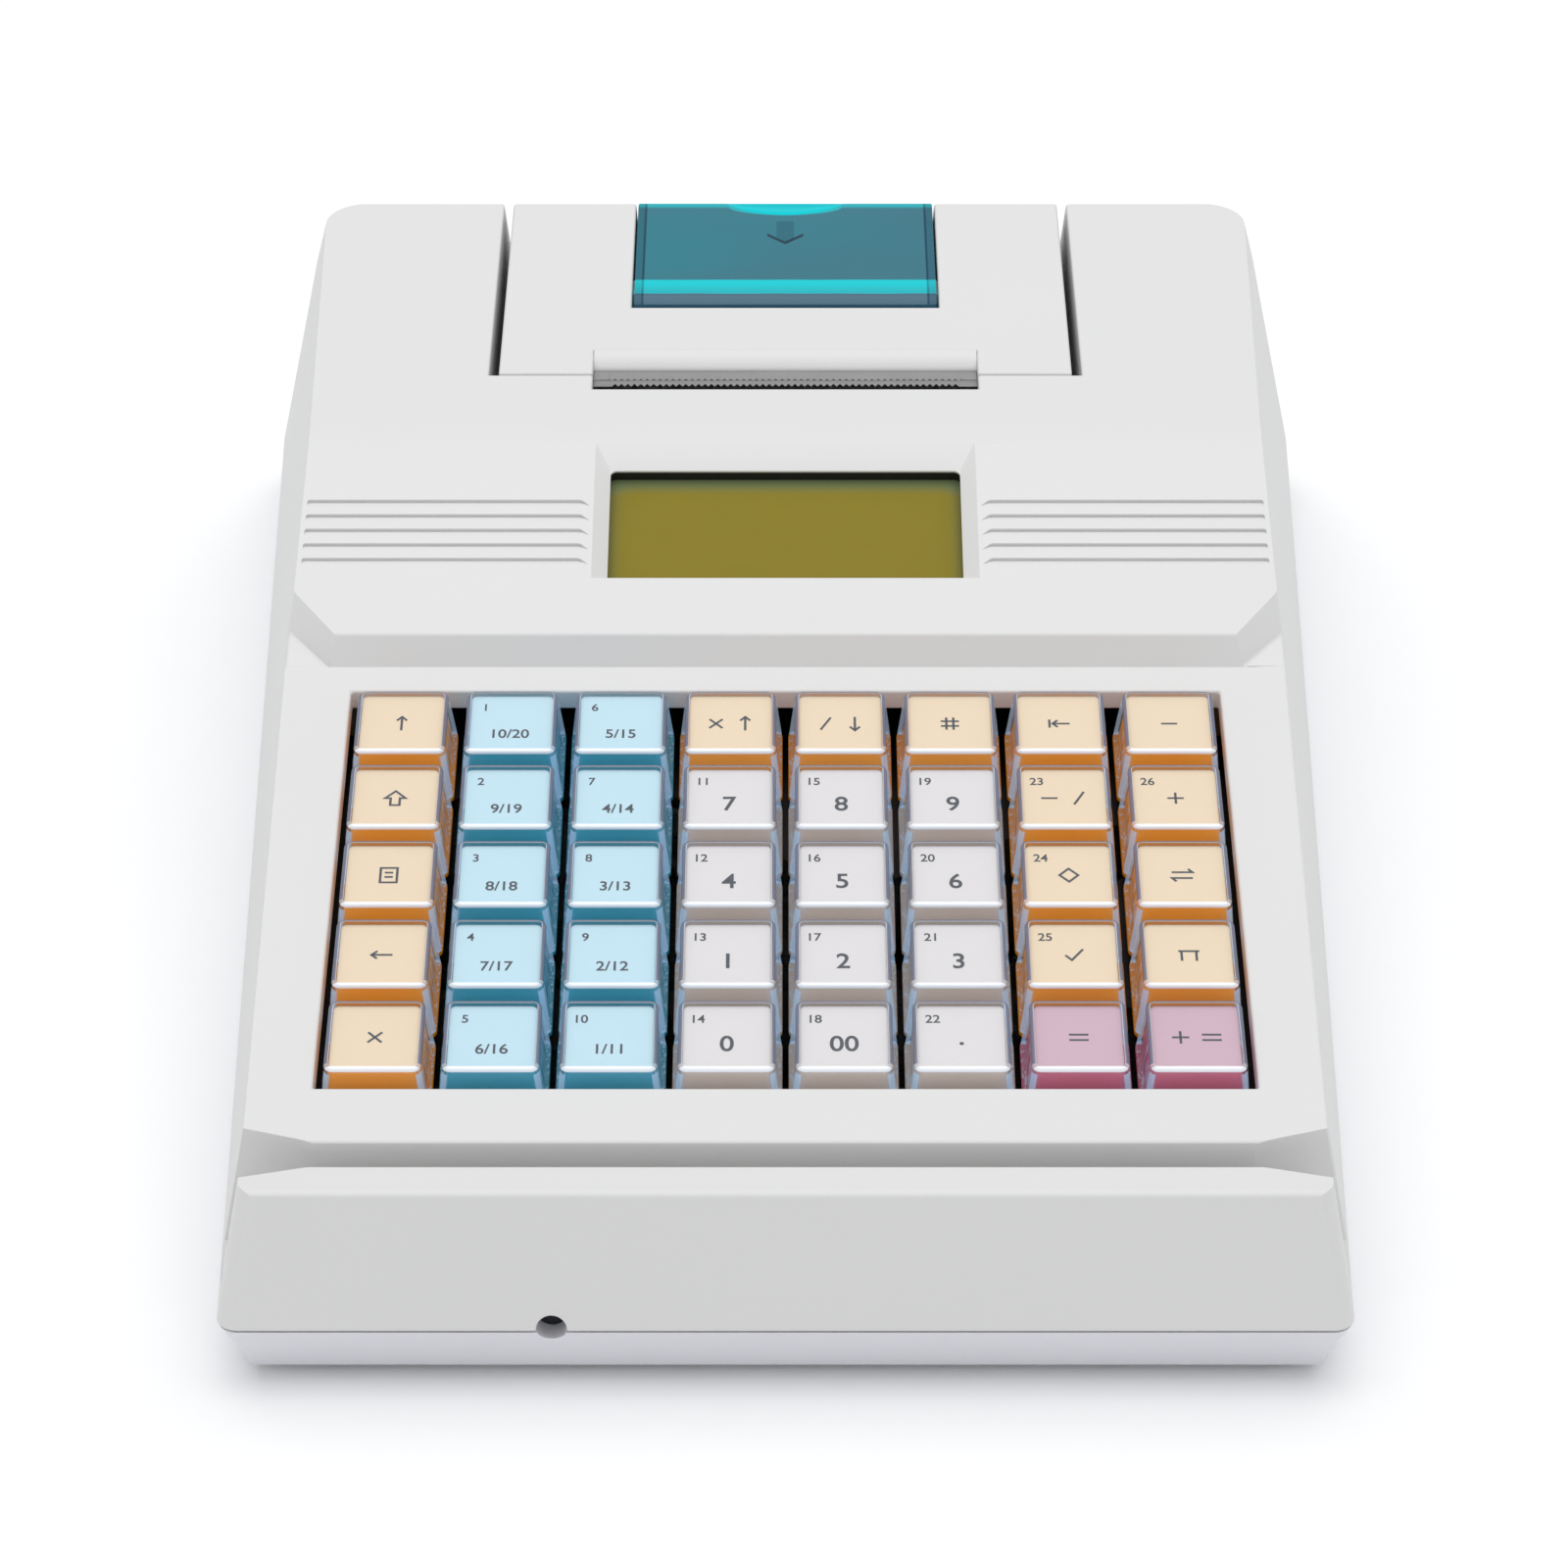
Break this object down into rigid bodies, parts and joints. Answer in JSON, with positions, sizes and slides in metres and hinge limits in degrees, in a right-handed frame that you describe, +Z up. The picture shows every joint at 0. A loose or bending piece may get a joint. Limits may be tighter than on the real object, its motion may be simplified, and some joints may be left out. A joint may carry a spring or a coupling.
{
  "type": "ticket register",
  "caption": "Counter-top till with a block of re-legendable keys, a window display, a full-width card slot and a receipt printer under a hinged cover with a tinted lid.",
  "frame": {"origin": "on the surface that the feet stand on, under the middle of the case", "axes": "+X to the right as the user sees it, +Y to the back, +Z up"},
  "size_m": [0.2116, 0.31, 0.0848],
  "materials": {
    "case_plastic": "fine-textured off-white moulding",
    "tray_plastic": "fine-textured, slightly bluish white moulding",
    "lid_tint": "polished translucent teal moulding",
    "bright_steel": "plain sheet steel",
    "display_black": "black bezel round a reflective display",
    "plate_black": "black coated steel",
    "switch_black": "black moulding",
    "board_green": "green solder mask",
    "socket_black": "black moulding",
    "roller_rubber": "ground black rubber on a steel shaft",
    "gear_nylon": "natural white nylon",
    "motor_steel": "drawn steel can",
    "pinion_brass": "machined brass",
    "head_aluminium": "plain aluminium heat sink",
    "reader_black": "black moulding",
    "screw_steel": "zinc-plated steel",
    "foot_rubber": "black rubber",
    "key_cream": "clear cap over a cream label",
    "key_blue": "clear cap over a pale blue label",
    "key_white": "clear cap over a white label",
    "key_rose": "clear cap over a pink label"
  },
  "bodies": {
    "case": {"base_tray": "tray_plastic", "upper_housing": "case_plastic", "lcd_module": "display_black", "switch_plate": "plate_black", "key_switches": "switch_black", "keyboard_pcb": "board_green", "main_board": "board_green", "rear_ports": "socket_black", "printer_frame": "bright_steel", "feed_motor": "motor_steel", "print_head": "head_aluminium", "card_reader": "reader_black", "housing_screws": "screw_steel", "rubber_feet": "foot_rubber"},
    "cover": {"printer_cover": "case_plastic", "tear_bar": "bright_steel"},
    "lid": {"paper_lid": "lid_tint"},
    "platen": {"platen_roller": "roller_rubber", "platen_gear": "gear_nylon"},
    "pinion": {"motor_pinion": "pinion_brass"},
    "key_1_1": {"key_1_1": "key_cream"},
    "key_1_2": {"key_1_2": "key_blue"},
    "key_1_3": {"key_1_3": "key_blue"},
    "key_1_4": {"key_1_4": "key_cream"},
    "key_1_5": {"key_1_5": "key_cream"},
    "key_1_6": {"key_1_6": "key_cream"},
    "key_1_7": {"key_1_7": "key_cream"},
    "key_1_8": {"key_1_8": "key_cream"},
    "key_2_1": {"key_2_1": "key_cream"},
    "key_2_2": {"key_2_2": "key_blue"},
    "key_2_3": {"key_2_3": "key_blue"},
    "key_2_4": {"key_2_4": "key_white"},
    "key_2_5": {"key_2_5": "key_white"},
    "key_2_6": {"key_2_6": "key_white"},
    "key_2_7": {"key_2_7": "key_cream"},
    "key_2_8": {"key_2_8": "key_cream"},
    "key_3_1": {"key_3_1": "key_cream"},
    "key_3_2": {"key_3_2": "key_blue"},
    "key_3_3": {"key_3_3": "key_blue"},
    "key_3_4": {"key_3_4": "key_white"},
    "key_3_5": {"key_3_5": "key_white"},
    "key_3_6": {"key_3_6": "key_white"},
    "key_3_7": {"key_3_7": "key_cream"},
    "key_3_8": {"key_3_8": "key_cream"},
    "key_4_1": {"key_4_1": "key_cream"},
    "key_4_2": {"key_4_2": "key_blue"},
    "key_4_3": {"key_4_3": "key_blue"},
    "key_4_4": {"key_4_4": "key_white"},
    "key_4_5": {"key_4_5": "key_white"},
    "key_4_6": {"key_4_6": "key_white"},
    "key_4_7": {"key_4_7": "key_cream"},
    "key_4_8": {"key_4_8": "key_cream"},
    "key_5_1": {"key_5_1": "key_cream"},
    "key_5_2": {"key_5_2": "key_blue"},
    "key_5_3": {"key_5_3": "key_blue"},
    "key_5_4": {"key_5_4": "key_white"},
    "key_5_5": {"key_5_5": "key_white"},
    "key_5_6": {"key_5_6": "key_white"},
    "key_5_7": {"key_5_7": "key_rose"},
    "key_5_8": {"key_5_8": "key_rose"}
  },
  "joints": [
    {"name": "cover_hinge", "type": "hinge", "parent": "case", "child": "cover", "pos_m": [0, 0.1317, 0.048], "axis": [-1, 0, 0], "range_deg": [0, 80]},
    {"name": "lid_hinge", "type": "hinge", "parent": "cover", "child": "lid", "pos_m": [0, 0.07579, 0.07734], "axis": [1, 0, 0], "range_deg": [0, 90]},
    {"name": "platen_spin", "type": "hinge", "parent": "case", "child": "platen", "pos_m": [0, 0.05403, 0.06], "axis": [1, 0, 0], "continuous": true},
    {"name": "pinion_spin", "type": "hinge", "parent": "case", "child": "pinion", "pos_m": [0, 0.06335, 0.04889], "axis": [1, 0, 0], "continuous": true},
    {"name": "key_1_1_travel", "type": "slide", "parent": "case", "child": "key_1_1", "axis": [0, 0.1848, -0.9828], "range_m": [0, 0.0035], "stiffness_N_per_m": 150, "springref_m": -0.002},
    {"name": "key_1_2_travel", "type": "slide", "parent": "case", "child": "key_1_2", "axis": [0, 0.1848, -0.9828], "range_m": [0, 0.0035], "stiffness_N_per_m": 150, "springref_m": -0.002},
    {"name": "key_1_3_travel", "type": "slide", "parent": "case", "child": "key_1_3", "axis": [0, 0.1848, -0.9828], "range_m": [0, 0.0035], "stiffness_N_per_m": 150, "springref_m": -0.002},
    {"name": "key_1_4_travel", "type": "slide", "parent": "case", "child": "key_1_4", "axis": [0, 0.1848, -0.9828], "range_m": [0, 0.0035], "stiffness_N_per_m": 150, "springref_m": -0.002},
    {"name": "key_1_5_travel", "type": "slide", "parent": "case", "child": "key_1_5", "axis": [0, 0.1848, -0.9828], "range_m": [0, 0.0035], "stiffness_N_per_m": 150, "springref_m": -0.002},
    {"name": "key_1_6_travel", "type": "slide", "parent": "case", "child": "key_1_6", "axis": [0, 0.1848, -0.9828], "range_m": [0, 0.0035], "stiffness_N_per_m": 150, "springref_m": -0.002},
    {"name": "key_1_7_travel", "type": "slide", "parent": "case", "child": "key_1_7", "axis": [0, 0.1848, -0.9828], "range_m": [0, 0.0035], "stiffness_N_per_m": 150, "springref_m": -0.002},
    {"name": "key_1_8_travel", "type": "slide", "parent": "case", "child": "key_1_8", "axis": [0, 0.1848, -0.9828], "range_m": [0, 0.0035], "stiffness_N_per_m": 150, "springref_m": -0.002},
    {"name": "key_2_1_travel", "type": "slide", "parent": "case", "child": "key_2_1", "axis": [0, 0.1848, -0.9828], "range_m": [0, 0.0035], "stiffness_N_per_m": 150, "springref_m": -0.002},
    {"name": "key_2_2_travel", "type": "slide", "parent": "case", "child": "key_2_2", "axis": [0, 0.1848, -0.9828], "range_m": [0, 0.0035], "stiffness_N_per_m": 150, "springref_m": -0.002},
    {"name": "key_2_3_travel", "type": "slide", "parent": "case", "child": "key_2_3", "axis": [0, 0.1848, -0.9828], "range_m": [0, 0.0035], "stiffness_N_per_m": 150, "springref_m": -0.002},
    {"name": "key_2_4_travel", "type": "slide", "parent": "case", "child": "key_2_4", "axis": [0, 0.1848, -0.9828], "range_m": [0, 0.0035], "stiffness_N_per_m": 150, "springref_m": -0.002},
    {"name": "key_2_5_travel", "type": "slide", "parent": "case", "child": "key_2_5", "axis": [0, 0.1848, -0.9828], "range_m": [0, 0.0035], "stiffness_N_per_m": 150, "springref_m": -0.002},
    {"name": "key_2_6_travel", "type": "slide", "parent": "case", "child": "key_2_6", "axis": [0, 0.1848, -0.9828], "range_m": [0, 0.0035], "stiffness_N_per_m": 150, "springref_m": -0.002},
    {"name": "key_2_7_travel", "type": "slide", "parent": "case", "child": "key_2_7", "axis": [0, 0.1848, -0.9828], "range_m": [0, 0.0035], "stiffness_N_per_m": 150, "springref_m": -0.002},
    {"name": "key_2_8_travel", "type": "slide", "parent": "case", "child": "key_2_8", "axis": [0, 0.1848, -0.9828], "range_m": [0, 0.0035], "stiffness_N_per_m": 150, "springref_m": -0.002},
    {"name": "key_3_1_travel", "type": "slide", "parent": "case", "child": "key_3_1", "axis": [0, 0.1848, -0.9828], "range_m": [0, 0.0035], "stiffness_N_per_m": 150, "springref_m": -0.002},
    {"name": "key_3_2_travel", "type": "slide", "parent": "case", "child": "key_3_2", "axis": [0, 0.1848, -0.9828], "range_m": [0, 0.0035], "stiffness_N_per_m": 150, "springref_m": -0.002},
    {"name": "key_3_3_travel", "type": "slide", "parent": "case", "child": "key_3_3", "axis": [0, 0.1848, -0.9828], "range_m": [0, 0.0035], "stiffness_N_per_m": 150, "springref_m": -0.002},
    {"name": "key_3_4_travel", "type": "slide", "parent": "case", "child": "key_3_4", "axis": [0, 0.1848, -0.9828], "range_m": [0, 0.0035], "stiffness_N_per_m": 150, "springref_m": -0.002},
    {"name": "key_3_5_travel", "type": "slide", "parent": "case", "child": "key_3_5", "axis": [0, 0.1848, -0.9828], "range_m": [0, 0.0035], "stiffness_N_per_m": 150, "springref_m": -0.002},
    {"name": "key_3_6_travel", "type": "slide", "parent": "case", "child": "key_3_6", "axis": [0, 0.1848, -0.9828], "range_m": [0, 0.0035], "stiffness_N_per_m": 150, "springref_m": -0.002},
    {"name": "key_3_7_travel", "type": "slide", "parent": "case", "child": "key_3_7", "axis": [0, 0.1848, -0.9828], "range_m": [0, 0.0035], "stiffness_N_per_m": 150, "springref_m": -0.002},
    {"name": "key_3_8_travel", "type": "slide", "parent": "case", "child": "key_3_8", "axis": [0, 0.1848, -0.9828], "range_m": [0, 0.0035], "stiffness_N_per_m": 150, "springref_m": -0.002},
    {"name": "key_4_1_travel", "type": "slide", "parent": "case", "child": "key_4_1", "axis": [0, 0.1848, -0.9828], "range_m": [0, 0.0035], "stiffness_N_per_m": 150, "springref_m": -0.002},
    {"name": "key_4_2_travel", "type": "slide", "parent": "case", "child": "key_4_2", "axis": [0, 0.1848, -0.9828], "range_m": [0, 0.0035], "stiffness_N_per_m": 150, "springref_m": -0.002},
    {"name": "key_4_3_travel", "type": "slide", "parent": "case", "child": "key_4_3", "axis": [0, 0.1848, -0.9828], "range_m": [0, 0.0035], "stiffness_N_per_m": 150, "springref_m": -0.002},
    {"name": "key_4_4_travel", "type": "slide", "parent": "case", "child": "key_4_4", "axis": [0, 0.1848, -0.9828], "range_m": [0, 0.0035], "stiffness_N_per_m": 150, "springref_m": -0.002},
    {"name": "key_4_5_travel", "type": "slide", "parent": "case", "child": "key_4_5", "axis": [0, 0.1848, -0.9828], "range_m": [0, 0.0035], "stiffness_N_per_m": 150, "springref_m": -0.002},
    {"name": "key_4_6_travel", "type": "slide", "parent": "case", "child": "key_4_6", "axis": [0, 0.1848, -0.9828], "range_m": [0, 0.0035], "stiffness_N_per_m": 150, "springref_m": -0.002},
    {"name": "key_4_7_travel", "type": "slide", "parent": "case", "child": "key_4_7", "axis": [0, 0.1848, -0.9828], "range_m": [0, 0.0035], "stiffness_N_per_m": 150, "springref_m": -0.002},
    {"name": "key_4_8_travel", "type": "slide", "parent": "case", "child": "key_4_8", "axis": [0, 0.1848, -0.9828], "range_m": [0, 0.0035], "stiffness_N_per_m": 150, "springref_m": -0.002},
    {"name": "key_5_1_travel", "type": "slide", "parent": "case", "child": "key_5_1", "axis": [0, 0.1848, -0.9828], "range_m": [0, 0.0035], "stiffness_N_per_m": 150, "springref_m": -0.002},
    {"name": "key_5_2_travel", "type": "slide", "parent": "case", "child": "key_5_2", "axis": [0, 0.1848, -0.9828], "range_m": [0, 0.0035], "stiffness_N_per_m": 150, "springref_m": -0.002},
    {"name": "key_5_3_travel", "type": "slide", "parent": "case", "child": "key_5_3", "axis": [0, 0.1848, -0.9828], "range_m": [0, 0.0035], "stiffness_N_per_m": 150, "springref_m": -0.002},
    {"name": "key_5_4_travel", "type": "slide", "parent": "case", "child": "key_5_4", "axis": [0, 0.1848, -0.9828], "range_m": [0, 0.0035], "stiffness_N_per_m": 150, "springref_m": -0.002},
    {"name": "key_5_5_travel", "type": "slide", "parent": "case", "child": "key_5_5", "axis": [0, 0.1848, -0.9828], "range_m": [0, 0.0035], "stiffness_N_per_m": 150, "springref_m": -0.002},
    {"name": "key_5_6_travel", "type": "slide", "parent": "case", "child": "key_5_6", "axis": [0, 0.1848, -0.9828], "range_m": [0, 0.0035], "stiffness_N_per_m": 150, "springref_m": -0.002},
    {"name": "key_5_7_travel", "type": "slide", "parent": "case", "child": "key_5_7", "axis": [0, 0.1848, -0.9828], "range_m": [0, 0.0035], "stiffness_N_per_m": 150, "springref_m": -0.002},
    {"name": "key_5_8_travel", "type": "slide", "parent": "case", "child": "key_5_8", "axis": [0, 0.1848, -0.9828], "range_m": [0, 0.0035], "stiffness_N_per_m": 150, "springref_m": -0.002}
  ],
  "couplings": [
    {"joint": "pinion_spin", "follows": "platen_spin", "ratio": -2}
  ]
}
